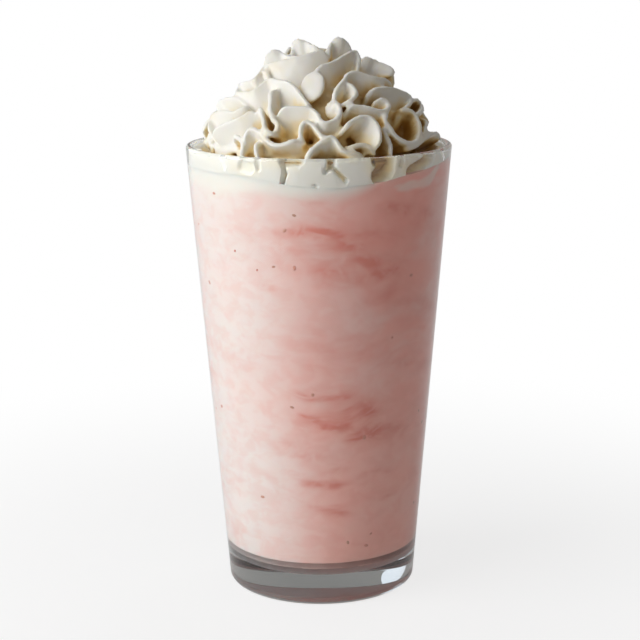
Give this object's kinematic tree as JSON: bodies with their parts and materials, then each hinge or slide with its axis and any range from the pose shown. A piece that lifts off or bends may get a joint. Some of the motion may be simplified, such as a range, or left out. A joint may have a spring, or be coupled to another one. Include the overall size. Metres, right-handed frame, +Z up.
{
  "type": "strawberry milkshake",
  "caption": "Pink strawberry milkshake in a conical pint glass, heaped with a dome of piped, ruffled whipped cream.",
  "frame": {"origin": "middle of the glass's foot, on the surface that it stands on", "axes": "+Z up along the axis of the glass; -Y is the front, and +X the right of someone who looks at the front"},
  "size_m": [0.0888, 0.0888, 0.1874],
  "materials": {
    "clear_glass": "clear, polished, thick foot",
    "strawberry_milkshake": "smooth, dense and milky, with thin streaks and specks of strawberry",
    "whipped_cream": "soft satin, matt in the hollows"
  },
  "bodies": {
    "root": {"glass": "clear_glass", "milkshake": "strawberry_milkshake", "whipped_cream": "whipped_cream"}
  },
  "joints": []
}
